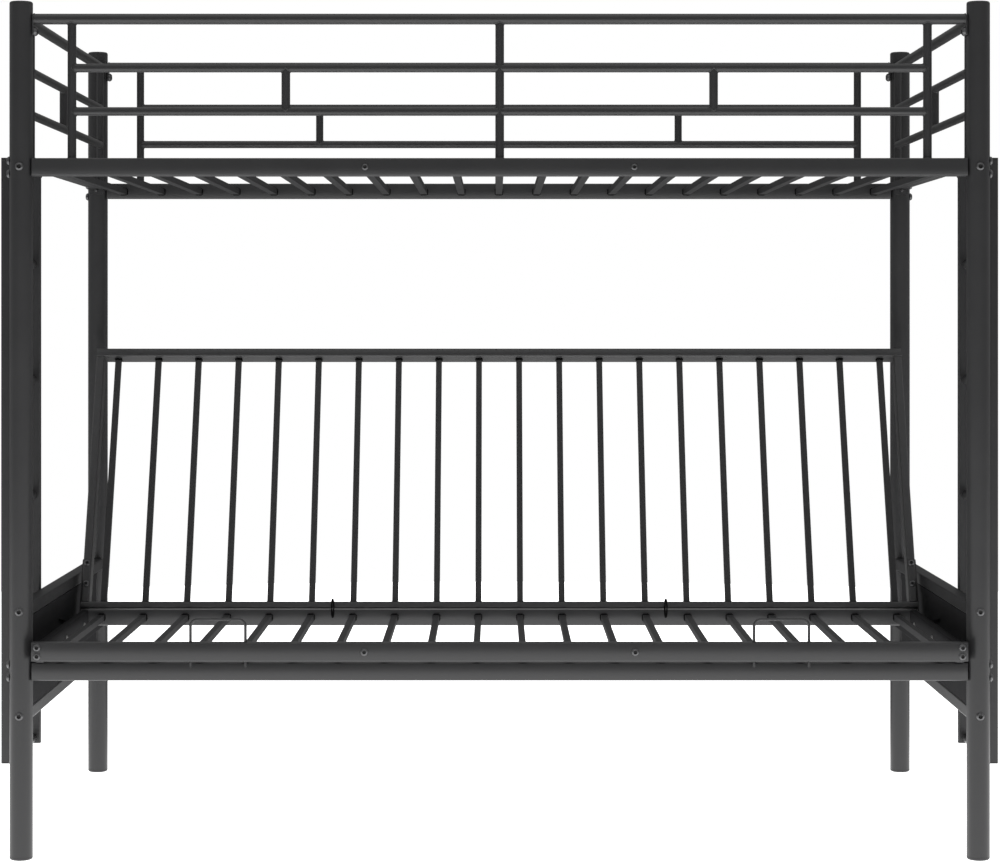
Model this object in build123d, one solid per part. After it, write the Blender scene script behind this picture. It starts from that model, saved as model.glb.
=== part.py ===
from build123d import *
from math import cos, radians, sin, sqrt
import os

# Black steel bunk bed with a futon sofa below, in millimetres.
# +X to the right, +Y to the rear, +Z up; the origin is on the floor under the middle of the whole bed.

# The bed as a whole
bed_height = 1698.0
post_spread = 1895.0
post_depth_spread = 1016.0

# Posts: round steel tube with plastic caps and feet
post_diameter = 46.0
post_wall = 1.5
cap_height = 7.0
cap_edge_radius = 4.5
plug_length = 18.0
plug_clearance = 0.2

# Screwed fasteners of the fixed frame
frame_bolt_diameter = 6.0
frame_bolt_hole_clearance = 0.2
frame_bolt_grip = 14.0
end_bolt_head_diameter = 16.0
end_bolt_head_height = 4.0
side_bolt_head_diameter = 17.0
side_bolt_head_height = 5.4
side_bolt_spacing = 26.0
head_crown_share = 0.6
head_side_share = 0.45
nut_sides = 6

# Side rails: the long rails of the upper bed and of the lower frame
side_rail_depth = 30.0
side_rail_height = 35.5
rail_wall = 1.5
rail_corner = 3.0
end_plate_thickness = 4.0
upper_rail_drop = 346.0
lower_side_rail_bottom = 355.0
deck_bolt_spread = 532.0
deck_bolt_head_diameter = 13.0
deck_bolt_head_height = 3.0

# End rails: the short rails between a front and a back post
end_rail_width = 30.0
end_rail_height = 25.0
upper_end_rail_height = 15.0
upper_end_rail_lift = 30.5
upper_end_bolt_drop = 12.0
end_plate_margin = 9.0
arm_rail_z = 491.5
lower_end_rail_z = 285.5

# Slats
upper_slat_count = 21
upper_slat_margin = 40.5
slat_width = 15.6
slat_height = 13.0
slat_wall = 1.2
upper_slat_lift = 9.4

# Guard rails of the upper bed
guard_top_diameter = 21.3
guard_bar_diameter = 17.2
guard_wall = 1.2
guard_top_drop = 34.7
guard_top_gap = 97.0
guard_low_gap = 85.9
guard_upright_inset = 77.5
end_guard_inset = 11.6
end_guard_drop = 3.5
end_guard_stay_behind_post = 446.0
end_guard_upright_gap = 8.5
flange_thickness = 3.0
flange_width = 21.0
flange_height = 42.0
flange_above_rail = 9.5
end_flange_width = 30.0
guard_screw_drop = 24.5
guard_screw_diameter = 6.0
guard_screw_grip = 9.0
guard_screw_head_diameter = 19.0
guard_screw_head_height = 7.0
end_guard_screw_head_diameter = 11.0
end_guard_screw_head_height = 4.0
end_guard_screw_inset = 8.0

# Ladders welded to the outside of the end rails
stringer_width = 35.0
stringer_depth = 15.0
stringer_wall = 1.5
stringer_corner = 3.0
ladder_outer_spacing = 270.0
ladder_post_gap = 30.0
ladder_bottom = 180.0
ladder_above_rail = 9.5
rung_diameter = 18.5
rung_wall = 1.2
rung_top_drop = 199.5
rung_low_z = 458.5
rung_count = 4
rung_bottom_z = 190.5
ladder_plug_thickness = 3.0
ladder_plug_length = 14.0

# Futon seat frame
seat_overhang = 47.5
seat_depth = 629.5
seat_side_gap = 14.5
seat_front_rail_depth = 20.0
seat_side_rail_width = 16.0
seat_side_rail_height = 34.0
seat_side_inset = 3.0
seat_rail_height = 38.0
seat_rail_bottom = 396.6
seat_corner = 3.5
seat_slat_count = 20
seat_slat_margin = 48.0
futon_slat_width = 13.2
seat_slat_recess = 13.6
seat_bolt_head_diameter = 14.5
seat_bolt_head_height = 3.5
seat_bolt_diameter = 6.0
seat_bolt_spacing = 17.3
rear_bolt_rise = 14.0
rear_bolt_spacing = 13.5
rear_bolt_head_diameter = 12.5
seat_bolt_grip = 16.0

# Wire loops that hold the mattress
loop_wire_diameter = 5.5
loop_width = 113.5
loop_inset = 365.5
loop_rise = 47.0
loop_drop = 11.6
loop_bend_radius = 14.0
loop_hole_clearance = 0.2
strap_loop_inset = 554.5
strap_loop_width = 10.0
strap_loop_height = 49.0
strap_loop_rise = 25.0
strap_wire_diameter = 4.0

# Reclining back frame, laid out flat around its hinge and then stood up
back_angle = 23.5
flat_angle = 90.0
hinge_behind_seat = 1.0
back_start = 13.0
back_end = 631.0
back_top_rail_width = 20.0
back_bottom_rail_width = 15.0
back_side_width = 18.0
back_slat_front_recess = 12.5
hinge_bolt_near = 68.0
hinge_bolt_far = 116.0
hinge_bolt_head_diameter = 14.0
hinge_bolt_head_height = 3.5
hinge_bolt_diameter = 6.0
hinge_nut_width = 10.0
hinge_nut_height = 5.0

# Hinge, slide and guide of the futon
slide_travel = 190.0
running_clearance = 0.05
body_clearance = 0.3
hinge_plate_thickness = 3.0
ear_radius = 12.0
ear_length = 60.0
hinge_pin_diameter = 8.0
hinge_pin_nut_width = 13.0
hinge_pin_nut_height = 4.5
bracket_pivot_radius = 13.0
bracket_arm_length = 130.0
bracket_arm_front = 9.0
bracket_corner = 8.0
bracket_flange_start = 54.0
guide_pin_arm = 25.5
guide_pin_diameter = 8.0
guide_pin_boss_radius = 7.0
guide_pin_head_diameter = 13.0
guide_pin_head_height = 3.0
slot_clearance = 0.5
slot_steps = 8
roller_diameter = 27.4
roller_width = 10.0
roller_side_gap = 1.0
roller_edge = 1.5
front_roller_behind_post = 265.0
rear_roller_behind_post = 500.0
axle_diameter = 8.0
axle_head_diameter = 13.0
axle_head_height = 3.0
axle_clip_diameter = 13.0
axle_clip_thickness = 1.2

# Side plates and seat tracks
side_plate_thickness = 2.0
side_plate_recess = 1.5
side_plate_length = 877.0
side_plate_corner = 12.0
side_plate_strip_height = 14.0
slot_cover_depth = 7.0
slot_cover_wall = 1.5
slot_cover_margin = 5.0
slot_cover_corner = 8.0
track_width = 17.0
track_height = 35.5
track_bottom = 355.0
glide_length = 26.0
glide_width = 15.0
glide_edge_radius = 1.4

# Sizes and places worked out from the ones above
post_radius = post_diameter / 2
post_x = post_spread / 2
post_bore = post_radius - post_wall
front_reach = seat_overhang + seat_bolt_head_height
rear_reach = post_radius + end_bolt_head_height
front_row = front_reach - (front_reach + post_depth_spread + rear_reach) / 2
back_row = front_row + post_depth_spread
rail_end_x = post_x - post_radius
front_rail_end = front_row + post_radius
back_rail_end = back_row - post_radius
upper_side_rail_bottom = bed_height - upper_rail_drop
upper_side_rail_z = upper_side_rail_bottom + side_rail_height / 2
upper_end_rail_z = upper_side_rail_bottom + upper_end_rail_lift
guard_top_z = bed_height - guard_top_drop
guard_second_z = guard_top_z - guard_top_gap
guard_third_z = guard_second_z - guard_low_gap
guard_upright_x = rail_end_x - guard_upright_inset
lower_side_rail_z = lower_side_rail_bottom + side_rail_height / 2
lower_side_rail_top = lower_side_rail_bottom + side_rail_height
seat_front = front_row - seat_overhang
seat_rear = seat_front + seat_depth
seat_z = seat_rail_bottom + seat_rail_height / 2
seat_side_rail_z = seat_rail_bottom + seat_side_rail_height / 2
rear_bolt_z = seat_rail_bottom + rear_bolt_rise
hinge_y = seat_rear + hinge_behind_seat
end_rail_inner_x = post_x - end_rail_width / 2
end_rail_outer_x = post_x + end_rail_width / 2
side_plate_inner_x = end_rail_inner_x + side_plate_recess
seat_half_width = side_plate_inner_x - seat_side_gap
seat_side_x = seat_half_width - seat_side_inset
seat_slat_pitch = 2 * (seat_half_width - seat_slat_margin) / (seat_slat_count - 1)
upper_slat_pitch = 2 * (rail_end_x - upper_slat_margin) / (upper_slat_count - 1)
loop_centre_x = seat_half_width - loop_inset
strap_loop_x = seat_half_width - strap_loop_inset
track_top = track_bottom + track_height
bracket_inner_x = seat_side_x + hinge_plate_thickness + body_clearance
bracket_outer_x = bracket_inner_x + hinge_plate_thickness
roller_z = track_top + body_clearance + roller_diameter / 2
bar_radius = guard_bar_diameter / 2
end_guard_x = post_x - end_guard_inset
end_guard_front = front_rail_end + end_guard_upright_gap + bar_radius
end_guard_back = back_rail_end - end_guard_upright_gap - bar_radius
end_guard_stay_y = front_row + end_guard_stay_behind_post
end_guard_top_z = guard_top_z - end_guard_drop
end_guard_second_z = guard_second_z - end_guard_drop
end_guard_third_z = guard_third_z - end_guard_drop
ladder_front = front_row + post_radius + ladder_post_gap
ladder_back = ladder_front + ladder_outer_spacing
back_swing = flat_angle - back_angle
guide_pin_rest_turn = -flat_angle - back_swing / 2
rung_x = end_rail_outer_x + stringer_width / 2
upper_end_bolt_z = upper_end_rail_z - upper_end_bolt_drop
ladder_top = upper_end_rail_z + ladder_above_rail
rung_top_z = upper_end_rail_z - rung_top_drop
rung_pitch = (rung_top_z - rung_low_z) / (rung_count - 1)


def along_x(x, y, z):
    """Plane whose normal runs along +X, with its own x along +Y and its own y up."""
    return Plane(origin=(x, y, z), x_dir=(0, 1, 0), z_dir=(1, 0, 0))


def along_y(x, y, z):
    """Plane whose normal runs along +Y, with its own x along +X."""
    return Plane(origin=(x, y, z), x_dir=(1, 0, 0), z_dir=(0, 1, 0))


def box_tube_face(width, height, wall, corner):
    outer = RectangleRounded(width, height, corner)
    inner = RectangleRounded(width - 2 * wall, height - 2 * wall, corner - wall)
    return outer - inner


def tube_x(start, end, y, z, face):
    return extrude(along_x(start, y, z) * face, amount=end - start)


def tube_y(x, start, end, z, face):
    return extrude(along_y(x, start, z) * face, amount=end - start)


def rod(start, end, radius):
    direction = Vector(*end) - Vector(*start)
    return extrude(Plane(origin=start, z_dir=direction) * Circle(radius), amount=direction.length)


def pipe(start, end, radius, wall):
    direction = Vector(*end) - Vector(*start)
    ring = Circle(radius) - Circle(radius - wall)
    return extrude(Plane(origin=start, z_dir=direction) * ring, amount=direction.length)


def bolt(seat, direction, shank_radius, grip, head_radius, head_height):
    """Button head bolt: the head stands on its seat and the shank runs along direction."""
    profile = Polyline(
        (0, head_height),
        (head_radius * head_crown_share, head_height),
        (head_radius, head_height * head_side_share),
        (head_radius, 0),
        (shank_radius, 0),
        (shank_radius, -grip),
        (0, -grip),
        close=True,
    )
    turned = revolve(Plane.XZ * make_face(profile), Axis.Z)
    back = Vector(*direction) * -1
    return Plane(origin=seat, z_dir=back).location * turned


def group(pieces):
    return Compound(children=list(pieces))


def sides():
    return (-1, 1)


def save(name, shape):
    export_step(shape, f"parts/{name}.step")


def drill(shape, start, end, radius):
    return shape - rod(start, end, radius)


# Posts with their caps and feet
def post(side, row):
    x = side * post_x
    tube = pipe((x, row, cap_height), (x, row, bed_height - cap_height), post_radius, post_wall)
    hole = frame_bolt_diameter / 2 + frame_bolt_hole_clearance
    for z in side_bolt_heights(upper_side_rail_z) + side_bolt_heights(lower_side_rail_z):
        tube = drill(tube, (x - post_radius, row, z), (x + post_radius, row, z), hole)
    for z in end_bolt_heights():
        tube = drill(tube, (x, row - post_radius, z), (x, row + post_radius, z), hole)
    screw_z = guard_top_z - guard_screw_drop
    screw_hole = guard_screw_diameter / 2 + frame_bolt_hole_clearance
    tube = drill(tube, (x, row, screw_z), (x - side * post_radius, row, screw_z), screw_hole)
    inward = 1 if row == front_row else -1
    screw_x = x - side * end_guard_screw_inset
    return drill(tube, (screw_x, row, screw_z), (screw_x, row + inward * post_radius, screw_z), screw_hole)


def side_bolt_heights(rail_z):
    return (rail_z - side_bolt_spacing / 2, rail_z + side_bolt_spacing / 2)


def end_bolt_heights():
    return (upper_end_bolt_z, arm_rail_z, lower_end_rail_z)


def post_end(x, row, base, up):
    """Plastic cap with a rounded outer edge and a plug that fills the end of the tube."""
    cap = Cylinder(post_radius, cap_height, align=(Align.CENTER, Align.CENTER, Align.MIN))
    cap = fillet(cap.edges().sort_by(Axis.Z)[-1], cap_edge_radius)
    plug = Cylinder(post_bore - plug_clearance, plug_length, align=(Align.CENTER, Align.CENTER, Align.MAX))
    return Plane(origin=(x, row, base), z_dir=(0, 0, up)).location * (cap + plug)


def post_ends(base, up):
    return group(post_end(side * post_x, row, base, up) for side in sides() for row in (front_row, back_row))


# Rails between the posts
def side_rail(row, z):
    face = box_tube_face(side_rail_depth, side_rail_height, rail_wall, rail_corner)
    rail = tube_x(-rail_end_x, rail_end_x, row, z, face)
    plate = RectangleRounded(side_rail_depth, side_rail_height, rail_corner)
    for side in sides():
        start = side * rail_end_x
        rail += tube_x(start, start - side * end_plate_thickness, row, z, plate)
        for bolt_z in side_bolt_heights(z):
            hole = frame_bolt_diameter / 2 + frame_bolt_hole_clearance
            rail = drill(rail, (start, row, bolt_z), (start - side * end_plate_thickness, row, bolt_z), hole)
    return rail


def upper_side_rail(row):
    rail = side_rail(row, upper_side_rail_z)
    hole = seat_bolt_diameter / 2 + frame_bolt_hole_clearance
    outward = -1 if row == front_row else 1
    for side in sides():
        x = side * deck_bolt_spread / 2
        outside = row + outward * side_rail_depth
        rail = drill(rail, (x, row, upper_side_rail_z), (x, outside, upper_side_rail_z), hole)
    return rail


def end_rail(side, z, height, bolt_z):
    """Short rail between two posts, with end plates that reach down past their bolts."""
    x = side * post_x
    face = box_tube_face(end_rail_width, height, rail_wall, rail_corner)
    rail = tube_y(x, front_rail_end, back_rail_end, z, face)
    plate_low = min(z - height / 2, bolt_z - end_plate_margin)
    plate_high = z + height / 2
    plate = RectangleRounded(end_rail_width, plate_high - plate_low, rail_corner)
    plate_z = (plate_low + plate_high) / 2
    hole = frame_bolt_diameter / 2 + frame_bolt_hole_clearance
    for end, inward in ((front_rail_end, 1), (back_rail_end, -1)):
        rail += tube_y(x, end, end + inward * end_plate_thickness, plate_z, plate)
        rail = drill(rail, (x, end, bolt_z), (x, end + inward * end_plate_thickness, bolt_z), hole)
    return rail


def centred(count, pitch):
    return [(index - (count - 1) / 2) * pitch for index in range(count)]


def slat_face(width):
    return Rectangle(width, slat_height) - Rectangle(width - 2 * slat_wall, slat_height - 2 * slat_wall)


def upper_slats():
    face = slat_face(slat_width)
    z = upper_side_rail_bottom + upper_slat_lift + slat_height / 2
    start = front_row + side_rail_depth / 2
    end = back_row - side_rail_depth / 2
    return group(tube_y(x, start, end, z, face) for x in centred(upper_slat_count, upper_slat_pitch))


# Guards of the upper bed: uprights stand on the rails, bars are cut to the round of the uprights
def long_guard_bars(row):
    top_end = rail_end_x - flange_thickness
    top_radius = guard_top_diameter / 2
    bars = [pipe((-top_end, row, guard_top_z), (top_end, row, guard_top_z), top_radius, guard_wall)]
    for z in (guard_second_z, guard_third_z):
        for side in sides():
            bar = pipe((0, row, z), (side * guard_upright_x, row, z), bar_radius, guard_wall)
            for x in (0, side * guard_upright_x):
                bar -= rod((x, row, z - guard_bar_diameter), (x, row, z + guard_bar_diameter), bar_radius)
            bars.append(bar)
    return group(bars)


def upright(x, y, low, high, low_bar=None, high_bar=None):
    """Round upright; low_bar and high_bar are the bars that its ends are cut to fit."""
    tube = pipe((x, y, low), (x, y, high), bar_radius, guard_wall)
    for bar in (low_bar, high_bar):
        if bar is not None:
            tube -= bar
    return tube


def long_guard_uprights(row):
    reach = guard_bar_diameter
    foot = upper_side_rail_bottom + side_rail_height
    pieces = []
    for x in (-guard_upright_x, 0, guard_upright_x):
        top = rod((x - reach, row, guard_top_z), (x + reach, row, guard_top_z), guard_top_diameter / 2)
        pieces.append(upright(x, row, foot, guard_top_z, high_bar=top))
    for side in sides():
        x = side * guard_upright_x / 2
        low = rod((x - reach, row, guard_third_z), (x + reach, row, guard_third_z), bar_radius)
        high = rod((x - reach, row, guard_second_z), (x + reach, row, guard_second_z), bar_radius)
        pieces.append(upright(x, row, guard_third_z, guard_second_z, low, high))
    return group(pieces)


def end_guard_bars(side):
    x = side * end_guard_x
    start = front_rail_end + flange_thickness
    end = back_rail_end - flange_thickness
    top = end_guard_top_z
    bars = [pipe((x, start, top), (x, end, top), guard_top_diameter / 2, guard_wall)]
    for z in (end_guard_second_z, end_guard_third_z):
        bar = pipe((x, end_guard_front, z), (x, end_guard_back, z), bar_radius, guard_wall)
        for y in (end_guard_front, end_guard_back):
            bar -= rod((x, y, z - guard_bar_diameter), (x, y, z + guard_bar_diameter), bar_radius)
        bars.append(bar)
    return group(bars)


def end_guard_uprights(side):
    x = side * end_guard_x
    reach = guard_bar_diameter
    foot = upper_end_rail_z + upper_end_rail_height / 2
    pieces = []
    for y in (end_guard_front, end_guard_back):
        top = rod((x, y - reach, end_guard_top_z), (x, y + reach, end_guard_top_z), guard_top_diameter / 2)
        pieces.append(upright(x, y, foot, end_guard_top_z, high_bar=top))
    y = end_guard_stay_y
    low = rod((x, y - reach, end_guard_third_z), (x, y + reach, end_guard_third_z), bar_radius)
    high = rod((x, y - reach, end_guard_second_z), (x, y + reach, end_guard_second_z), bar_radius)
    pieces.append(upright(x, y, end_guard_third_z, end_guard_second_z, low, high))
    return group(pieces)


def guard_flanges():
    """Flat tabs welded to the ends of the top bars, screwed to the posts."""
    centre_z = guard_top_z + flange_above_rail - flange_height / 2
    screw_z = guard_top_z - guard_screw_drop
    hole = guard_screw_diameter / 2 + frame_bolt_hole_clearance
    pieces = []
    for side in sides():
        for row, inward in ((front_row, 1), (back_row, -1)):
            tab = RectangleRounded(flange_width, flange_height, rail_corner)
            start = side * (rail_end_x - flange_thickness)
            plate = tube_x(start, side * rail_end_x, row, centre_z, tab)
            pieces.append(drill(plate, (start, row, screw_z), (side * rail_end_x, row, screw_z), hole))
            tab = RectangleRounded(end_flange_width, flange_height, rail_corner)
            face_y = row + inward * post_radius
            x = side * (end_guard_x + (end_flange_width - guard_top_diameter) / 2)
            plate = tube_y(x, face_y, face_y + inward * flange_thickness, centre_z, tab)
            screw_x = side * (post_x - end_guard_screw_inset)
            tip = face_y + inward * flange_thickness
            pieces.append(drill(plate, (screw_x, face_y, screw_z), (screw_x, tip, screw_z), hole))
    return group(pieces)


# Ladders
def ladder_stringers(side):
    face = box_tube_face(stringer_width, stringer_depth, stringer_wall, stringer_corner)
    low = ladder_bottom + ladder_plug_thickness
    high = ladder_top - ladder_plug_thickness
    pieces = []
    for y in stringer_places():
        pieces.append(extrude(Pos(side * rung_x, y, low) * face, amount=high - low))
    return group(pieces)


def stringer_places():
    return (ladder_front + stringer_depth / 2, ladder_back - stringer_depth / 2)


def ladder_rungs(side):
    heights = [rung_top_z - index * rung_pitch for index in range(rung_count)] + [rung_bottom_z]
    start = ladder_front + stringer_depth
    end = ladder_back - stringer_depth
    x = side * rung_x
    return group(pipe((x, start, z), (x, end, z), rung_diameter / 2, rung_wall) for z in heights)


def ladder_plugs():
    cover = RectangleRounded(stringer_width, stringer_depth, stringer_corner)
    inset = stringer_wall + plug_clearance
    core = RectangleRounded(stringer_width - 2 * inset, stringer_depth - 2 * inset, stringer_corner - inset)
    pieces = []
    for side in sides():
        for y in stringer_places():
            for end, up in ((ladder_bottom, -1), (ladder_top, 1)):
                plug = extrude(cover, amount=ladder_plug_thickness)
                plug += extrude(core, amount=-ladder_plug_length)
                origin = (side * rung_x, y, end - up * ladder_plug_thickness)
                pieces.append(Plane(origin=origin, x_dir=(1, 0, 0), z_dir=(0, 0, up)).location * plug)
    return group(pieces)


# Bolts and screws of the fixed frame
def side_rail_bolts():
    shank = frame_bolt_diameter / 2
    grip = post_diameter + frame_bolt_grip
    head = side_bolt_head_diameter / 2
    pieces = []
    for side in sides():
        for row in (front_row, back_row):
            for z in side_bolt_heights(upper_side_rail_z) + side_bolt_heights(lower_side_rail_z):
                seat = (side * (post_x + post_radius), row, z)
                pieces.append(bolt(seat, (-side, 0, 0), shank, grip, head, side_bolt_head_height))
    return group(pieces)


def end_rail_bolts():
    shank = frame_bolt_diameter / 2
    grip = post_diameter + frame_bolt_grip
    head = end_bolt_head_diameter / 2
    pieces = []
    for side in sides():
        for row, inward in ((front_row, 1), (back_row, -1)):
            for z in end_bolt_heights():
                seat = (side * post_x, row - inward * post_radius, z)
                pieces.append(bolt(seat, (0, inward, 0), shank, grip, head, end_bolt_head_height))
    return group(pieces)


def guard_screws():
    z = guard_top_z - guard_screw_drop
    shank = guard_screw_diameter / 2
    grip = flange_thickness + guard_screw_grip
    pieces = []
    for side in sides():
        for row, inward in ((front_row, 1), (back_row, -1)):
            seat = (side * (rail_end_x - flange_thickness), row, z)
            head = guard_screw_head_diameter / 2
            pieces.append(bolt(seat, (side, 0, 0), shank, grip, head, guard_screw_head_height))
            x = side * (post_x - end_guard_screw_inset)
            seat = (x, row + inward * (post_radius + flange_thickness), z)
            head = end_guard_screw_head_diameter / 2
            pieces.append(bolt(seat, (0, -inward, 0), shank, grip, head, end_guard_screw_head_height))
    return group(pieces)


def deck_rail_bolts():
    shank = seat_bolt_diameter / 2
    head = deck_bolt_head_diameter / 2
    pieces = []
    for side in sides():
        for row, inward in ((front_row, 1), (back_row, -1)):
            seat = (side * deck_bolt_spread / 2, row - inward * side_rail_depth / 2, upper_side_rail_z)
            grip = side_rail_depth / 2
            pieces.append(bolt(seat, (0, inward, 0), shank, grip, head, deck_bolt_head_height))
    return group(pieces)


# Side plates with the guide slot, and the tracks that carry the seat rollers
def guide_pin_place(share):
    """Centre of the guide pin in Y and Z when the seat has moved by this share of its travel."""
    turned = radians(guide_pin_rest_turn + back_swing * share)
    y = hinge_y - slide_travel * share + guide_pin_arm * sin(turned)
    z = seat_z + guide_pin_arm * cos(turned)
    return y, z


def guide_slot_face(half_width):
    """Slot around the path of the guide pin, with round ends."""
    shares = [index / slot_steps for index in range(slot_steps + 1)]
    centres = [Vector(*guide_pin_place(share)) for share in shares]
    low_edge = []
    high_edge = []
    for index, centre in enumerate(centres):
        before = centres[max(index - 1, 0)]
        after = centres[min(index + 1, slot_steps)]
        along = (after - before).normalized()
        normal = Vector(-along.Y, along.X) * half_width
        low_edge.append(centre - normal)
        high_edge.append(centre + normal)
    low = Spline(*low_edge)
    high = Spline(*high_edge)
    band = make_face(low + Line(low_edge[-1], high_edge[-1]) + high + Line(high_edge[0], low_edge[0]))
    return band + Pos(*centres[0]) * Circle(half_width) + Pos(*centres[-1]) * Circle(half_width)


def side_plate_end():
    return front_rail_end + side_plate_length


def slot_cover(side):
    """Pressed cover welded over the outside of the guide slot, roomy enough for the head of the pin."""
    first = guide_pin_place(0)
    last = guide_pin_place(1)
    room = guide_pin_head_diameter + 2 * (slot_cover_margin + slot_cover_wall)
    length = first[0] - last[0] + room
    height = last[1] - first[1] + room
    centre = Pos((first[0] + last[0]) / 2, (first[1] + last[1]) / 2)
    outer = centre * RectangleRounded(length, height, slot_cover_corner)
    inner = centre * RectangleRounded(
        length - 2 * slot_cover_wall, height - 2 * slot_cover_wall, slot_cover_corner - slot_cover_wall)
    base = along_x(side * (side_plate_inner_x + side_plate_thickness), 0, 0)
    shell = extrude(base * outer, amount=side * slot_cover_depth)
    return shell - extrude(base * inner, amount=side * (slot_cover_depth - slot_cover_wall))


def side_plate(side):
    """Sheet between arm rail and lower end rail, with a stiffening strip inside its top edge."""
    low = lower_end_rail_z + end_rail_height / 2
    high = arm_rail_z - end_rail_height / 2
    offset = post_x - side_plate_inner_x
    start = front_row + sqrt(post_radius ** 2 - (offset - side_plate_thickness) ** 2) + body_clearance
    end = side_plate_end()
    sheet = Pos((start + end) / 2, (low + high) / 2) * Rectangle(end - start, high - low)
    corner = sheet.vertices().group_by(Axis.X)[-1].sort_by(Axis.Y)[0]
    sheet = fillet(corner, side_plate_corner)
    sheet -= guide_slot_face(guide_pin_diameter / 2 + slot_clearance)
    plate = extrude(along_x(side * side_plate_inner_x, 0, 0) * sheet, amount=side * side_plate_thickness)
    strip_centre = Pos((front_rail_end + end) / 2, high - side_plate_strip_height / 2)
    strip = strip_centre * Rectangle(end - front_rail_end, side_plate_strip_height)
    plate += extrude(along_x(side * end_rail_inner_x, 0, 0) * strip, amount=side * side_plate_recess)
    return plate + slot_cover(side)


def seat_track(side):
    face = box_tube_face(track_width, track_height, rail_wall, rail_corner)
    x = side * (side_plate_inner_x - track_width / 2)
    z = track_bottom + track_height / 2
    return tube_y(x, front_rail_end, side_plate_end(), z, face)


def glide_pads():
    """Plastic pads on the lower side rails, under the seat rails and under the laid down back."""
    height = seat_rail_bottom - body_clearance - lower_side_rail_top
    x = seat_side_x - seat_side_rail_width / 2
    pad = Pos(0, 0, lower_side_rail_top + height / 2) * Box(glide_width, glide_length, height)
    pad = fillet(pad.edges().group_by(Axis.Z)[-1], glide_edge_radius)
    return group(Pos(side * x, row, 0) * pad for side in sides() for row in (front_row, back_row))


# Futon seat frame
def seat_cross_rail(reach, y, height, bolt_places):
    """Rail between reach on the left and reach on the right, closed at its ends."""
    z = seat_rail_bottom + height / 2
    face = box_tube_face(seat_front_rail_depth, height, rail_wall, seat_corner)
    rail = tube_x(-reach, reach, y, z, face)
    cover = RectangleRounded(seat_front_rail_depth, height, seat_corner)
    for side in sides():
        rail += tube_x(side * reach, side * (reach - rail_wall), y, z, cover)
    hole = seat_bolt_diameter / 2 + frame_bolt_hole_clearance
    before = y - seat_front_rail_depth
    behind = y + seat_front_rail_depth
    for x, bolt_z in bolt_places:
        rail = drill(rail, (x, before, bolt_z), (x, behind, bolt_z), hole)
    return rail


def seat_front_rail():
    y = seat_front + seat_front_rail_depth / 2
    rail = seat_cross_rail(seat_half_width, y, seat_rail_height, front_bolt_places())
    for x in loop_leg_places():
        wire_hole = loop_wire_diameter / 2 + loop_hole_clearance
        rail = drill(rail, (x, y, seat_rail_bottom), (x, y, seat_rail_bottom + seat_rail_height), wire_hole)
    hole = seat_bolt_diameter / 2 + frame_bolt_hole_clearance
    for side in sides():
        x = side * deck_bolt_spread / 2
        rail = drill(rail, (x, y - seat_front_rail_depth, seat_z), (x, y, seat_z), hole)
    return rail


def seat_rear_rail():
    y = seat_rear - seat_front_rail_depth / 2
    return seat_cross_rail(seat_side_x, y, seat_side_rail_height, rear_bolt_places())


def corner_bolt_places(middle_z, spacing):
    x = seat_side_x - seat_side_rail_width / 2
    return [(side * x, middle_z + up * spacing / 2) for side in sides() for up in sides()]


def front_bolt_places():
    return corner_bolt_places(seat_z, seat_bolt_spacing)


def rear_bolt_places():
    return corner_bolt_places(rear_bolt_z, rear_bolt_spacing)


def seat_side_rails():
    face = box_tube_face(seat_side_rail_width, seat_side_rail_height, rail_wall, seat_corner)
    plug = RectangleRounded(seat_side_rail_width, seat_side_rail_height, seat_corner)
    start = seat_front + seat_front_rail_depth
    end = seat_rear - seat_front_rail_depth
    front_plug_end = start + end_plate_thickness
    rear_plug_end = end - end_plate_thickness
    hole = seat_bolt_diameter / 2 + frame_bolt_hole_clearance
    pieces = []
    for side in sides():
        x = side * (seat_side_x - seat_side_rail_width / 2)
        rail = tube_y(x, start, end, seat_side_rail_z, face)
        rail += tube_y(x, start, front_plug_end, seat_side_rail_z, plug)
        rail += tube_y(x, rear_plug_end, end, seat_side_rail_z, plug)
        for z in (seat_z - seat_bolt_spacing / 2, seat_z + seat_bolt_spacing / 2):
            rail = drill(rail, (x, start, z), (x, front_plug_end, z), hole)
        for z in (rear_bolt_z - rear_bolt_spacing / 2, rear_bolt_z + rear_bolt_spacing / 2):
            rail = drill(rail, (x, rear_plug_end, z), (x, end, z), hole)
        for y in roller_places():
            inner = side * (seat_side_x - seat_side_rail_width)
            axle_hole = axle_diameter / 2 + frame_bolt_hole_clearance
            rail = drill(rail, (inner, y, roller_z), (side * seat_side_x, y, roller_z), axle_hole)
        pieces.append(rail)
    return group(pieces)


def roller_places():
    return (front_row + front_roller_behind_post, front_row + rear_roller_behind_post)


def seat_slats():
    face = slat_face(futon_slat_width)
    z = seat_rail_bottom + seat_rail_height - seat_slat_recess - slat_height / 2
    start = seat_front + seat_front_rail_depth
    end = seat_rear - seat_front_rail_depth
    return group(tube_y(x, start, end, z, face) for x in centred(seat_slat_count, seat_slat_pitch))


def seat_bolts():
    shank = seat_bolt_diameter / 2
    head = seat_bolt_head_diameter / 2
    rear_head = rear_bolt_head_diameter / 2
    grip = seat_front_rail_depth + seat_bolt_grip
    pieces = []
    for x, z in front_bolt_places():
        pieces.append(bolt((x, seat_front, z), (0, 1, 0), shank, grip, head, seat_bolt_head_height))
    for x, z in rear_bolt_places():
        pieces.append(bolt((x, seat_rear, z), (0, -1, 0), shank, grip, rear_head, seat_bolt_head_height))
    for side in sides():
        seat = (side * deck_bolt_spread / 2, seat_front, seat_z)
        pieces.append(bolt(seat, (0, 1, 0), shank, seat_front_rail_depth / 2, head, seat_bolt_head_height))
    return group(pieces)


def loop_leg_places():
    half = (loop_width - loop_wire_diameter) / 2
    return [side * loop_centre_x + leg * half for side in sides() for leg in sides()]


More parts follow.
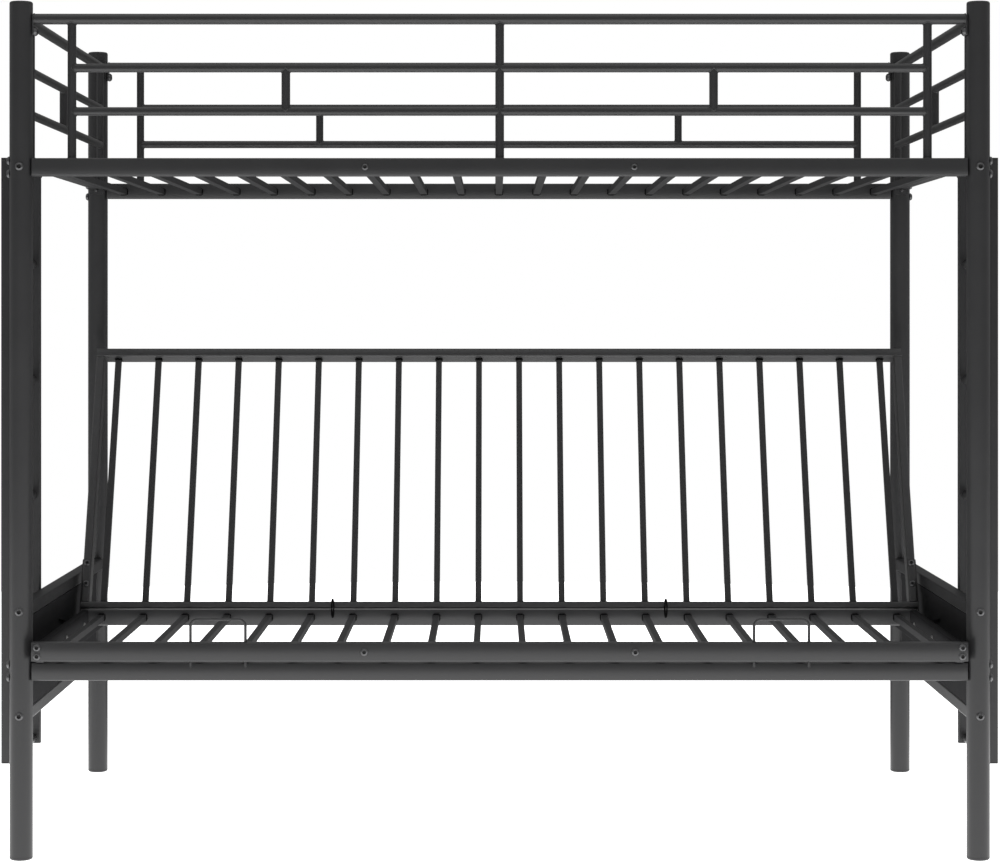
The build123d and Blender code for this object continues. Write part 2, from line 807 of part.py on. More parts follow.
def mattress_loop(x):
    """Bent wire staple: two legs through the front rail, joined by a bar with round corners."""
    half = (loop_width - loop_wire_diameter) / 2
    high = seat_rail_bottom + seat_rail_height + loop_rise - loop_wire_diameter / 2
    low = seat_rail_bottom - loop_drop
    y = seat_front + seat_front_rail_depth / 2
    points = [(x - half, y, low), (x - half, y, high), (x + half, y, high), (x + half, y, low)]
    path = FilletPolyline(*points, radius=loop_bend_radius)
    return sweep(Plane(origin=points[0], z_dir=(0, 0, 1)) * Circle(loop_wire_diameter / 2), path=path)


def strap_loop(x):
    """Narrow closed wire ring welded upright to the inner face of the rear seat rail."""
    radius = (strap_loop_width - strap_wire_diameter) / 2
    straight = (strap_loop_height - strap_loop_width) / 2
    y = seat_rear - seat_front_rail_depth - strap_wire_diameter / 2
    top = seat_rail_bottom + seat_rail_height + strap_loop_rise
    centre = Plane(origin=(x, y, top - strap_loop_height / 2), x_dir=(1, 0, 0), z_dir=(0, -1, 0))
    wire = strap_wire_diameter / 2
    arch = Pos(0, straight) * Rot(90, 0, 0) * revolve(Plane.XZ * Pos(radius, 0) * Circle(wire), Axis.Z, 180)
    foot = Rot(0, 0, 180) * arch
    legs = [rod((leg * radius, -straight, 0), (leg * radius, straight, 0), wire) for leg in sides()]
    return centre.location * (arch + foot + legs[0] + legs[1])


def mattress_loops():
    pieces = [mattress_loop(side * loop_centre_x) for side in sides()]
    pieces += [strap_loop(side * strap_loop_x) for side in sides()]
    return group(pieces)


def hinge_ears():
    """Plates welded to the outer faces of the seat side rails, round about the hinge."""
    strip = Pos(hinge_y - ear_length / 2, seat_z) * Rectangle(ear_length, 2 * ear_radius)
    face = strip + Pos(hinge_y, seat_z) * Circle(ear_radius)
    face -= Pos(hinge_y, seat_z) * Circle(hinge_pin_diameter / 2)
    start = seat_side_x
    thickness = hinge_plate_thickness
    return group(extrude(along_x(side * start, 0, 0) * face, amount=side * thickness) for side in sides())


def nut_outline(width, bore):
    return RegularPolygon(width / 2, nut_sides, major_radius=False) - Circle(bore / 2)


def hinge_pins():
    """Hinge studs fixed in the ears, each with a nut outside the bracket."""
    nut_face = nut_outline(hinge_pin_nut_width, hinge_pin_diameter)
    pieces = []
    for side in sides():
        nut_start = side * (bracket_outer_x + body_clearance)
        nut_end = nut_start + side * hinge_pin_nut_height
        start = (side * seat_side_x, hinge_y, seat_z)
        pieces.append(rod(start, (nut_end, hinge_y, seat_z), hinge_pin_diameter / 2))
        pieces.append(tube_x(nut_start, nut_end, hinge_y, seat_z, nut_face))
    return group(pieces)


def roller_axles():
    """Axle bolts through the seat side rails, each with a spring clip outside its roller."""
    inner = seat_side_x - seat_side_rail_width
    roller_outer = seat_side_x + roller_side_gap + roller_width
    clip_face = Circle(axle_clip_diameter / 2) - Circle(axle_diameter / 2)
    grip = roller_outer + body_clearance + axle_clip_thickness - inner
    shank = axle_diameter / 2
    head = axle_head_diameter / 2
    pieces = []
    for side in sides():
        for y in roller_places():
            seat = (side * inner, y, roller_z)
            pieces.append(bolt(seat, (side, 0, 0), shank, grip, head, axle_head_height))
            start = side * (roller_outer + body_clearance)
            pieces.append(tube_x(start, start + side * axle_clip_thickness, y, roller_z, clip_face))
    return group(pieces)


def seat_roller(side, y):
    start = seat_side_x + roller_side_gap
    wheel = extrude(Circle(roller_diameter / 2), amount=roller_width)
    wheel = chamfer(wheel.edges(), roller_edge)
    wheel -= extrude(Circle(axle_diameter / 2 + running_clearance), amount=roller_width)
    return Plane(origin=(side * start, y, roller_z), z_dir=(side, 0, 0)).location * wheel


# Reclining back frame, in its own flat layout: x across, y away from the hinge, z to its front face
stand_up = Plane(
    origin=(0, hinge_y, seat_z),
    x_dir=(1, 0, 0),
    z_dir=(0, -cos(radians(back_angle)), sin(radians(back_angle))),
)
back_front = seat_rail_height / 2
guide_finger_turn = back_angle - guide_pin_rest_turn


def flat_to_rest(shape):
    return stand_up.location * shape


def back_cross_rail(centre, width):
    face = box_tube_face(width, seat_rail_height, rail_wall, seat_corner)
    return flat_to_rest(tube_x(-seat_half_width, seat_half_width, centre, 0, face))


def back_side_members():
    face = box_tube_face(back_side_width, seat_rail_height, rail_wall, seat_corner)
    x = seat_half_width - back_side_width / 2
    start = back_start + back_bottom_rail_width
    end = back_end - back_top_rail_width
    hole = hinge_bolt_diameter / 2 + frame_bolt_hole_clearance
    pieces = []
    for side in sides():
        member = tube_y(side * x, start, end, 0, face)
        for y in (hinge_bolt_near, hinge_bolt_far):
            member = drill(member, (side * x, y, -back_front), (side * x, y, back_front), hole)
        pieces.append(member)
    return flat_to_rest(group(pieces))


def back_slats():
    face = slat_face(futon_slat_width)
    z = back_front - back_slat_front_recess - slat_height / 2
    start = back_start + back_bottom_rail_width
    end = back_end - back_top_rail_width
    places = centred(seat_slat_count, seat_slat_pitch)
    return flat_to_rest(group(tube_y(x, start, end, z, face) for x in places))


def hinge_bracket(side):
    """Bent steel bracket: a flange behind the side member and a web that turns on the hinge stud."""
    arm_back = back_front + hinge_plate_thickness
    arm = Pos(bracket_arm_length / 2, (bracket_arm_front - arm_back) / 2) * RectangleRounded(
        bracket_arm_length, bracket_arm_front + arm_back, bracket_corner)
    finger = Pos(guide_pin_arm / 2, 0) * Rectangle(guide_pin_arm, 2 * guide_pin_boss_radius)
    finger += Pos(guide_pin_arm, 0) * Circle(guide_pin_boss_radius)
    finger -= Pos(guide_pin_arm, 0) * Circle(guide_pin_diameter / 2)
    web = arm + Circle(bracket_pivot_radius) + Rot(0, 0, guide_finger_turn) * finger
    web -= Circle(hinge_pin_diameter / 2 + running_clearance)
    bracket = extrude(along_x(side * bracket_inner_x, 0, 0) * web, amount=side * hinge_plate_thickness)
    flange_inner = seat_half_width - back_side_width
    flange_width_x = bracket_outer_x - flange_inner
    flange_length = bracket_arm_length - bracket_flange_start
    flange = Pos(
        side * (flange_inner + flange_width_x / 2),
        bracket_flange_start + flange_length / 2,
        -back_front - hinge_plate_thickness / 2,
    ) * Box(flange_width_x, flange_length, hinge_plate_thickness)
    bracket += flange
    x = side * (seat_half_width - back_side_width / 2)
    for y in (hinge_bolt_near, hinge_bolt_far):
        hole = hinge_bolt_diameter / 2 + frame_bolt_hole_clearance
        bracket = drill(bracket, (x, y, -arm_back), (x, y, -back_front), hole)
    return bracket


def hinge_brackets():
    return flat_to_rest(group(hinge_bracket(side) for side in sides()))


def guide_pins():
    """Headed pins fixed in the brackets; they run in the slots of the side plates."""
    y, z = guide_pin_place(0)
    plate_outer_x = side_plate_inner_x + side_plate_thickness
    grip = plate_outer_x + body_clearance - bracket_inner_x
    head = guide_pin_head_diameter / 2
    pieces = []
    for side in sides():
        seat = (side * (plate_outer_x + body_clearance), y, z)
        pieces.append(bolt(seat, (-side, 0, 0), guide_pin_diameter / 2, grip, head, guide_pin_head_height))
    return group(pieces)


def bracket_bolts():
    x = seat_half_width - back_side_width / 2
    back = -back_front - hinge_plate_thickness
    grip = seat_rail_height + hinge_plate_thickness + hinge_nut_height
    nut = extrude(nut_outline(hinge_nut_width, hinge_bolt_diameter), amount=-hinge_nut_height)
    pieces = []
    for side in sides():
        for y in (hinge_bolt_near, hinge_bolt_far):
            seat = (side * x, y, back_front)
            head = hinge_bolt_head_diameter / 2
            pieces.append(bolt(seat, (0, 0, -1), hinge_bolt_diameter / 2, grip, head, hinge_bolt_head_height))
            pieces.append(Pos(side * x, y, back) * nut)
    return flat_to_rest(group(pieces))


os.makedirs("parts", exist_ok=True)

save("post_front_left", post(-1, front_row))
save("post_front_right", post(1, front_row))
save("post_back_left", post(-1, back_row))
save("post_back_right", post(1, back_row))
save("post_top_caps", post_ends(bed_height - cap_height, 1))
save("post_feet", post_ends(cap_height, -1))
save("upper_front_rail", upper_side_rail(front_row))
save("upper_rear_rail", upper_side_rail(back_row))
save("lower_front_rail", side_rail(front_row, lower_side_rail_z))
save("lower_rear_rail", side_rail(back_row, lower_side_rail_z))
save("upper_slats", upper_slats())
save("front_guard_bars", long_guard_bars(front_row))
save("front_guard_uprights", long_guard_uprights(front_row))
save("rear_guard_bars", long_guard_bars(back_row))
save("rear_guard_uprights", long_guard_uprights(back_row))
save("guard_flanges", guard_flanges())
for name, side in (("left", -1), ("right", 1)):
    upper_rail = end_rail(side, upper_end_rail_z, upper_end_rail_height, upper_end_bolt_z)
    save(f"upper_{name}_end_rail", upper_rail)
    save(f"{name}_arm_rail", end_rail(side, arm_rail_z, end_rail_height, arm_rail_z))
    save(f"lower_{name}_end_rail", end_rail(side, lower_end_rail_z, end_rail_height, lower_end_rail_z))
    save(f"{name}_end_guard_bars", end_guard_bars(side))
    save(f"{name}_end_guard_uprights", end_guard_uprights(side))
    save(f"{name}_ladder_stringers", ladder_stringers(side))
    save(f"{name}_ladder_rungs", ladder_rungs(side))
    save(f"{name}_side_plate", side_plate(side))
    save(f"{name}_seat_track", seat_track(side))
    save(f"{name}_front_roller", seat_roller(side, roller_places()[0]))
    save(f"{name}_rear_roller", seat_roller(side, roller_places()[1]))
save("ladder_plugs", ladder_plugs())
save("glide_pads", glide_pads())
save("side_rail_bolts", side_rail_bolts())
save("end_rail_bolts", end_rail_bolts())
save("guard_screws", guard_screws())
save("deck_rail_bolts", deck_rail_bolts())
save("seat_front_rail", seat_front_rail())
save("seat_rear_rail", seat_rear_rail())
save("seat_side_rails", seat_side_rails())
save("seat_slats", seat_slats())
save("seat_bolts", seat_bolts())
save("mattress_loops", mattress_loops())
save("hinge_ears", hinge_ears())
save("hinge_pins", hinge_pins())
save("roller_axles", roller_axles())
bottom_rail_centre = back_start + back_bottom_rail_width / 2
top_rail_centre = back_end - back_top_rail_width / 2
save("back_bottom_rail", back_cross_rail(bottom_rail_centre, back_bottom_rail_width))
save("back_top_rail", back_cross_rail(top_rail_centre, back_top_rail_width))
save("back_side_members", back_side_members())
save("back_slats", back_slats())
save("hinge_brackets", hinge_brackets())
save("guide_pins", guide_pins())
save("bracket_bolts", bracket_bolts())
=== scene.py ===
from math import cos, pi, radians, sin, sqrt, tan

import bmesh
import bpy
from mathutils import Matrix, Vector


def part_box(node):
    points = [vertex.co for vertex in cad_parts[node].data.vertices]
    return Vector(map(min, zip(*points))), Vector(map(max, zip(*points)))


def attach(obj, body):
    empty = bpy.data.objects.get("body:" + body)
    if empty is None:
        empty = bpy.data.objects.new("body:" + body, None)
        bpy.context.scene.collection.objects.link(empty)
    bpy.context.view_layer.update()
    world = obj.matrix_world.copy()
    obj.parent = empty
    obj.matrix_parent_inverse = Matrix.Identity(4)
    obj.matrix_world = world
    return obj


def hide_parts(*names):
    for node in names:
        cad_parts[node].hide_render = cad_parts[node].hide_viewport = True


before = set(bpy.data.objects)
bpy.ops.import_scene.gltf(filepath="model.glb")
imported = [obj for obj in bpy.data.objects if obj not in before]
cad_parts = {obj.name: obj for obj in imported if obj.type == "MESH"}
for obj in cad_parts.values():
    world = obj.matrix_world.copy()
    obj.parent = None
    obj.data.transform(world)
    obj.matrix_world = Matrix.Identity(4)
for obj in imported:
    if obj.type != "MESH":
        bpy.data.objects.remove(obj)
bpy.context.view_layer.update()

# Camera. The photograph is taken square on to the long side, from a metre above the floor, so that
# the upper bed is seen from below and the sofa from above. The shift only frames the bed in it.
image_width = 1000
image_height = 863
camera_distance = 5.256
camera_height = 1.076
camera_offset = -0.0093
principal_column = 495.0
principal_row = 315.7
pixels_per_metre_at_posts = 505.0
sensor_width = 36.0

front_post_low, front_post_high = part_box("post_front_left")
front_row = (front_post_high.y + front_post_low.y) / 2
focal_share = pixels_per_metre_at_posts * camera_distance / image_width
camera_data = bpy.data.cameras.new("camera")
camera_data.sensor_width = sensor_width
camera_data.lens = focal_share * sensor_width
camera_data.shift_x = (image_width / 2 - principal_column) / image_width
camera_data.shift_y = (principal_row - image_height / 2) / image_width
camera_data.clip_end = 60.0
camera = bpy.data.objects.new("camera", camera_data)
camera.location = (camera_offset, front_row - camera_distance, camera_height)
camera.rotation_euler = (radians(90), 0, 0)
bpy.context.scene.collection.objects.link(camera)
bpy.context.scene.camera = camera

# Studio. A white room with a pale seamless floor and one large soft panel overhead. The floor itself
# glows, painted light that lights the bed from below: full in front of the bed and dim behind it.


class Socket:
    """A shader value whose arithmetic adds Math nodes."""

    def __init__(self, nodes, output):
        self.nodes = nodes
        self.output = output

    def math(self, operation, first, second=0.0):
        return self.nodes.add("ShaderNodeMath", {"operation": operation}, {0: first, 1: second})

    def __add__(self, other):
        return self.math("ADD", self, other)

    def __radd__(self, other):
        return self.math("ADD", other, self)

    def __sub__(self, other):
        return self.math("SUBTRACT", self, other)

    def __rsub__(self, other):
        return self.math("SUBTRACT", other, self)

    def __mul__(self, other):
        return self.math("MULTIPLY", self, other)

    def __rmul__(self, other):
        return self.math("MULTIPLY", other, self)

    def above(self, limit):
        return self.math("MAXIMUM", self, limit)


class Nodes:
    """The nodes of one material, or of the world."""

    def __init__(self, material):
        self.tree = material.node_tree
        self.tree.nodes.clear()

    def add(self, kind, settings=None, inputs=None, out=0):
        node = self.tree.nodes.new(kind)
        for name, value in (settings or {}).items():
            if name == "stops":
                ramp = node.color_ramp
                for index, (place, colour) in enumerate(value):
                    stop = ramp.elements[index] if index < 2 else ramp.elements.new(place)
                    stop.position = place
                    stop.color = colour
            else:
                setattr(node, name, value)
        for name, value in (inputs or {}).items():
            if isinstance(value, Socket):
                self.tree.links.new(value.output, node.inputs[name])
            else:
                node.inputs[name].default_value = value
        return Socket(self, node.outputs[out]) if node.outputs else None

    def surface(self, shader, kind="Material"):
        self.add(f"ShaderNodeOutput{kind}", inputs={"Surface": shader})


def new_material(name):
    material = bpy.data.materials.new(name)
    material.use_nodes = True
    return material, Nodes(material)


def object_from(name, mesh, *materials):
    piece = bpy.data.objects.new(name, mesh)
    bpy.context.scene.collection.objects.link(piece)
    for material in materials:
        piece.data.materials.append(material)
    return piece


def turns(count):
    """Angles in even steps round a circle."""
    return [2 * pi * step / count for step in range(count)]


floor_reach = 5.0
floor_drop = 0.0005
floor_sides = 96
floor_glow = 1.7
full_glow_until = 0.6
dim_glow_from = 1.2
pale_low, pale_high = (0.40, 0.40, 0.40, 1.0), (0.44, 0.44, 0.44, 1.0)
dim, white = (0.06, 0.06, 0.06, 1.0), (1.0, 1.0, 1.0, 1.0)
floor_mesh = bpy.data.meshes.new("studio_floor")
rim = [(floor_reach * cos(turn), floor_reach * sin(turn), -floor_drop) for turn in turns(floor_sides)]
floor_mesh.from_pydata(rim, [], [tuple(range(floor_sides))])
floor_paint, nodes = new_material("studio_floor")
floor_tone = nodes.add("ShaderNodeTexNoise", None, {"Scale": 0.8, "Detail": 2.0})
pale = nodes.add("ShaderNodeValToRGB", {"stops": ((0.3, pale_low), (0.7, pale_high))}, {"Fac": floor_tone})
place = nodes.add("ShaderNodeTexCoord", out=3)
deep = nodes.add("ShaderNodeSeparateXYZ", None, {0: place}, out=1)
nearness = nodes.add("ShaderNodeMapRange", {"interpolation_type": "SMOOTHSTEP"},
                     {0: deep, 1: full_glow_until, 2: dim_glow_from, 3: 1.0, 4: 0.0})
# The floor glows full in front of the bed and dim behind it, painted light; to the camera it glows white
# everywhere.
glow_share = nearness.above(nodes.add("ShaderNodeLightPath", out=0))
glow = nodes.add("ShaderNodeMix", {"data_type": "RGBA"}, {0: glow_share, 6: dim, 7: white}, out=2)
nodes.surface(nodes.add("ShaderNodeBsdfPrincipled", None, {
    "Base Color": pale, "Roughness": 0.9, "Specular IOR Level": 0.0,
    "Emission Color": glow, "Emission Strength": floor_glow}))
object_from("studio_floor", floor_mesh, floor_paint)

# The surround is white where the camera looks at it. For the light and the reflections on the steel
# it is a dim room with a pale ceiling, and slightly paler in front and behind to each side.
room_light, side_light, corner_light, ceiling_light = 0.12, 0.08, 0.06, 0.56
world = bpy.data.worlds.new("studio")
world.use_nodes = True
nodes = Nodes(world)
direction = nodes.add("ShaderNodeTexCoord", out=0)
sideways = nodes.add("ShaderNodeSeparateXYZ", None, {0: direction}, out=0)
deep = nodes.add("ShaderNodeSeparateXYZ", None, {0: direction}, out=1)
upward = nodes.add("ShaderNodeSeparateXYZ", None, {0: direction}, out=2)
panels = deep * (3.0 - 4.0 * deep * deep)
room = (room_light + sideways * sideways * side_light + panels * corner_light
        + upward.above(0.0) * ceiling_light)
seen = nodes.add("ShaderNodeLightPath", out=0)
strength = seen + room - seen * room
nodes.surface(nodes.add("ShaderNodeBackground", None, {"Color": white, "Strength": strength}), "World")
bpy.context.scene.world = world
bpy.context.scene.view_settings.view_transform = "Standard"


def soft_panel(name, place, aim, width, height, watts):
    light = bpy.data.lights.new(name, "AREA")
    light.shape = "RECTANGLE"
    light.size = width
    light.size_y = height
    light.energy = watts
    lamp = bpy.data.objects.new(name, light)
    lamp.location = place
    lamp.rotation_euler = (Vector(aim) - Vector(place)).to_track_quat("-Z", "Y").to_euler()
    bpy.context.scene.collection.objects.link(lamp)


soft_panel("ceiling_panel", place=(0, -1.0, 3.6), aim=(0, 0, 0.9), width=3.4, height=1.2, watts=8)

# Posts. Four round steel tubes, cut to length, drilled for the rail bolts and sprayed with black
# powder; baking leaves a satin skin with a fine pebbled texture. All the steel has such a coat.


def shaded(tone, share):
    """A colour made darker or lighter by a share."""
    return tuple(channel * share for channel in tone) + (1.0,)


fleck_in_tone, fleck_in_gloss, fleck_in_height = 0.35, 0.04, 0.3


def powder_coat(name, tone, gloss_low, gloss_high, shine=0.5, face=None):
    """Black baked powder, pebbled and faintly cloudy; face tells of a drawn tube's slightly crowned one."""
    material, nodes = new_material(name)
    place = nodes.add("ShaderNodeTexCoord", out=3)
    pebbles = nodes.add("ShaderNodeTexNoise", None, {"Vector": place, "Scale": 900.0, "Detail": 3.0})
    clouds = nodes.add("ShaderNodeTexNoise", None, {
        "Vector": place, "Scale": 9.0, "Detail": 4.0, "Roughness": 0.6})
    specks = nodes.add("ShaderNodeTexVoronoi", None, {"Vector": place, "Scale": 420.0})
    fleck = nodes.add("ShaderNodeMapRange", None, {0: specks, 1: 0.0, 2: 0.22, 3: 1.0, 4: 0.0})
    dark, light = shaded(tone, 0.86), shaded(tone, 1.16)
    body = nodes.add("ShaderNodeMix", {"data_type": "RGBA"}, {0: clouds, 6: dark, 7: light}, out=2)
    flecked = nodes.add("ShaderNodeMix", {"data_type": "RGBA"},
                        {0: fleck * fleck_in_tone, 6: body, 7: light}, out=2)
    roughness = gloss_low + clouds * (gloss_high - gloss_low) + fleck * fleck_in_gloss
    bump = nodes.add("ShaderNodeBump", None, {
        "Strength": 0.16, "Distance": 0.0004, "Height": pebbles + fleck * fleck_in_height})
    if face:
        height, middle, half, crown = face
        rise = nodes.add("ShaderNodeVectorMath", {"operation": "DOT_PRODUCT"}, {0: place, 1: height}, out=1)
        rise -= middle
        fall = -tan(radians(crown)) / (2 * half)
        bump = nodes.add("ShaderNodeBump", None, {
            "Strength": 1.0, "Distance": 1.0, "Height": rise * rise * fall, "Normal": bump})
    nodes.surface(nodes.add("ShaderNodeBsdfPrincipled", None, {
        "Base Color": flecked, "Roughness": roughness, "Specular IOR Level": shine, "Normal": bump}))
    return material


def dress(material, *names):
    """Gives CAD pieces their finish."""
    for name in names:
        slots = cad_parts[name].data.materials
        slots.clear()
        slots.append(material)


coat_tone, coat_gloss, coat_dull = (0.028, 0.028, 0.029), 0.29, 0.40
frame_coat = powder_coat("frame_powder_coat", coat_tone, coat_gloss, coat_dull)
dress(frame_coat, "post_front_left", "post_front_right", "post_back_left", "post_back_right")

# Caps and feet. Black polyethylene mouldings pushed into both ends of each post; the feet keep the
# steel off the floor. They are matt, with the faint flow marks of the mould.


def moulded_plastic(name, tone, roughness):
    material, nodes = new_material(name)
    place = nodes.add("ShaderNodeTexCoord", out=3)
    grain = nodes.add("ShaderNodeTexNoise", None, {"Vector": place, "Scale": 1400.0, "Detail": 2.0})
    flow = nodes.add("ShaderNodeTexNoise", None, {"Vector": place, "Scale": 30.0, "Detail": 2.0})
    body = nodes.add("ShaderNodeMix", {"data_type": "RGBA"},
                     {0: flow, 6: shaded(tone, 0.85), 7: shaded(tone, 1.2)}, out=2)
    bump = nodes.add("ShaderNodeBump", None, {"Strength": 0.2, "Distance": 0.0003, "Height": grain})
    nodes.surface(nodes.add("ShaderNodeBsdfPrincipled", None, {
        "Base Color": body, "Roughness": roughness + flow * 0.08, "Normal": bump}))
    return material


cap_plastic = moulded_plastic("cap_plastic", (0.022, 0.022, 0.023), 0.42)
dress(cap_plastic, "post_top_caps", "post_feet", "ladder_plugs")

# Upper bed. Rectangular tube: two long rails and two short ones with plates welded on their ends,
# and twenty one slats whose ends are welded to the long rails. The coat is darker and duller on the
# slats, and the welds round their ends are near-black, painted shade for the corners they sit in.

right, rear, up = Vector((1, 0, 0)), Vector((0, 1, 0)), Vector((0, 0, 1))
ends = ("left", "right")
upper_rail_low, upper_rail_high = 1.352, 1.3875
same_point = 1e-5
smooth_below = 35
bead_radius, bead_sides = 0.0013, 6
ripple_depth, ripple_turn = 0.16, 2.4
bead_end_share = 0.45
slat_corner, slat_bead_step = 0.0025, 0.0032
slat_bead_radius, slat_bead_spread = 0.0019, 2.4


def solids_of(node):
    """The separate solids of a CAD piece, each as its list of points."""
    mesh = bmesh.new()
    mesh.from_mesh(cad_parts[node].data)
    bmesh.ops.remove_doubles(mesh, verts=mesh.verts, dist=same_point)
    left, solids = dict.fromkeys(mesh.verts), []
    while left:
        reached = [left.popitem()[0]]
        for point in reached:
            for edge in point.link_edges:
                other = edge.other_vert(point)
                if other in left:
                    del left[other]
                    reached.append(other)
        solids.append([point.co.copy() for point in reached])
    mesh.free()
    return solids


def span(points, axis):
    """The least and the greatest place of some points along an axis."""
    reaches = [point.dot(axis) for point in points]
    return min(reaches), max(reaches)


def skin(mesh, rings, joined=False):
    """Faces between rings of points that follow one another."""
    pairs = list(zip(rings, rings[1:])) + ([(rings[-1], rings[0])] if joined else [])
    faces = []
    for low, high in pairs:
        for index in range(len(low)):
            after = (index + 1) % len(low)
            faces.append(mesh.faces.new((low[index], low[after], high[after], high[index])))
    if not joined:
        mesh.faces.new(rings[0][::-1])
        faces.append(mesh.faces.new(rings[-1]))
    return faces


def bead(mesh, stops, joined=True, radius=bead_radius, spread=1.0):
    """A rippled weld bead through its stops, each a point and the way that leads out of the joint."""
    rings = []
    last = len(stops) - 1
    for index, (point, away) in enumerate(stops):
        before = stops[index - 1][0] if joined or index else point
        after = stops[(index + 1) % len(stops)][0] if joined or index < last else point
        aside = (after - before).normalized().cross(away)
        at_end = not joined and index in (0, last)
        swell = radius * (1 + ripple_depth * sin(index * ripple_turn)) * (bead_end_share if at_end else 1.0)
        outs = [away * cos(turn) + aside * sin(turn) * spread for turn in turns(bead_sides)]
        rings.append([mesh.verts.new(point + out * swell) for out in outs])
    skin(mesh, rings, joined)


def tube_end(solid, along, across, height, end):
    """Middle, half width and half height of one end (0 low, 1 high) of a rectangular tube."""
    (left, right_side), (low, high) = span(solid, across), span(solid, height)
    middle = (along * span(solid, along)[end] + across * ((left + right_side) / 2)
              + height * ((low + high) / 2))
    return middle, (right_side - left) / 2, (high - low) / 2


def rounded_box(middle, across, height, half_width, half_height, corner):
    """Stops round a rectangle with round corners."""
    stops = []
    for side, top, start in ((1, 1, 0), (-1, 1, 90), (-1, -1, 180), (1, -1, 270)):
        heart = middle + across * side * (half_width - corner) + height * top * (half_height - corner)
        for turn in (0, 30, 60, 90):
            away = across * cos(radians(start + turn)) + height * sin(radians(start + turn))
            stops.append((heart + away * corner, away))
    return stops


def finish_piece(mesh, name, material, body, slot, *stands_for, inner=None):
    """Makes the piece that rides on a body, in place of any CAD pieces that it stands for."""
    bmesh.ops.recalc_face_normals(mesh, faces=mesh.faces)
    data = bpy.data.meshes.new(name)
    mesh.to_mesh(data)
    mesh.free()
    data.polygons.foreach_set("use_smooth", [True] * len(data.polygons))
    data.set_sharp_from_angle(angle=radians(smooth_below))
    piece = object_from(name, data, *([material, inner] if inner else [material]))
    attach(piece, body)
    if stands_for:
        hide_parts(*stands_for)


def slat_seams(name, node, along, height, body):
    """The beads round both ends of each rectangular slat, as one piece; near-black, painted shade in the
    corners.
    """
    mesh = bmesh.new()
    for slat in solids_of(node):
        for end in (0, 1):
            middle, half_width, half_height = tube_end(slat, along, right, height, end)
            stops = rounded_box(middle, right, height, half_width, half_height, slat_corner)
            finer = []
            for (point, away), (after, away_after) in zip(stops, stops[1:] + stops[:1]):
                pieces = max(1, round((after - point).length / slat_bead_step))
                for share in range(pieces):
                    finer.append((point.lerp(after, share / pieces),
                                  away.lerp(away_after, share / pieces).normalized()))
            bead(mesh, finer, radius=slat_bead_radius, spread=slat_bead_spread)
    finish_piece(mesh, name, seam_shade_and_wire_black, body, "frame_paint")


def rail_coat(name, low, high, height=up, tone=coat_tone, crown=14.0):
    """The powder coat of a rectangular rail whose face reaches from low to high along its height."""
    face = (tuple(height), (low + high) / 2, (high - low) / 2, crown)
    return powder_coat(name, tone, coat_gloss, coat_dull, face=face)


# A darker, duller copy of the coat for the slats; on the arm rails it is painted shade.
dark_dull_coat = powder_coat("dark_dull_powder_coat", (0.022, 0.022, 0.023), 0.42, 0.54, shine=0.22)
# Near-black coat: on the slat welds it is painted shade for the corners where slats meet rails; the seat's
# wire rings are coloured with it too.
seam_shade_and_wire_black = powder_coat("seam_shade_and_wire_black_coat", (0.005, 0.005, 0.005), 0.60, 0.72, shine=0.0)
dress(rail_coat("upper_rail_coat", upper_rail_low, upper_rail_high), "upper_front_rail", "upper_rear_rail")
dress(frame_coat, *(f"upper_{end}_end_rail" for end in ends))
dress(dark_dull_coat, "upper_slats")
slat_seams("upper_slat_welds", "upper_slats", rear, up, "bed_frame")

# Guard rails. Round tube in three rows round the upper bed: each bar end and upright is notched to
# fit the tube it meets and welded all round, and the top bars end in flanges screwed to the posts.
# Each end guard has one short upright as well, made here.
joint_steps = 36
joint_slack, joint_overrun = 0.001, 0.02
stay_behind_post, stay_sink = 0.446, 0.0003
stay_shares = (0, 0.1, 0.5, 0.9, 1)


def round_seam(mesh, centre, out, radius):
    """A bead round a tube that stands square on a flat face."""
    side = out.orthogonal().normalized()
    other = out.cross(side)
    aways = [side * cos(turn) + other * sin(turn) for turn in turns(joint_steps)]
    bead(mesh, [(centre + away * radius, away) for away in aways])


def notch(main_radius, branch_radius, turn):
    """How far from a tube's axis another tube meets it, at a turn round the other one."""
    return sqrt(max(main_radius ** 2 - (branch_radius * sin(turn)) ** 2, 0.0))


def saddle_seam(mesh, joint, out, main, branch_radius, main_radius):
    """A bead round a tube that leaves another tube square, following the notch."""
    side = out.cross(main)
    stops = []
    for turn in turns(joint_steps):
        away = main * cos(turn) + side * sin(turn)
        stops.append((joint + out * notch(main_radius, branch_radius, turn) + away * branch_radius, away))
    bead(mesh, stops)


def tube_axis(solid, along):
    """The middle of a round tube, its two ends along a direction, and its radius."""
    others = [axis for axis in (right, rear, up) if axis != along]
    middle = sum((axis * (sum(span(solid, axis)) / 2) for axis in others), Vector())
    radius = max(span(solid, axis)[1] - span(solid, axis)[0] for axis in others) / 2
    return middle, span(solid, along), radius


def tube_joints(mesh, branches, branch_way, mains, main_way):
    """Beads where the ends of one set of tubes meet another set or a flat face."""
    mains = [tube_axis(solid, main_way) for solid in mains]
    for solid in branches:
        middle, reach, radius = tube_axis(solid, branch_way)
        for end, sign in ((reach[0], 1), (reach[1], -1)):
            at = middle + branch_way * end
            place = at.dot(main_way)
            for main_middle, (main_start, main_stop), main_radius in mains:
                apart = at - main_middle
                apart -= main_way * apart.dot(main_way)
                beside = main_start - joint_overrun < place < main_stop + joint_overrun
                if beside and apart.length < main_radius + joint_slack:
                    joint = main_middle + main_way * place
                    saddle_seam(mesh, joint, branch_way * sign, main_way, radius, max(main_radius, radius))
                    break
            else:
                round_seam(mesh, at, branch_way, radius)


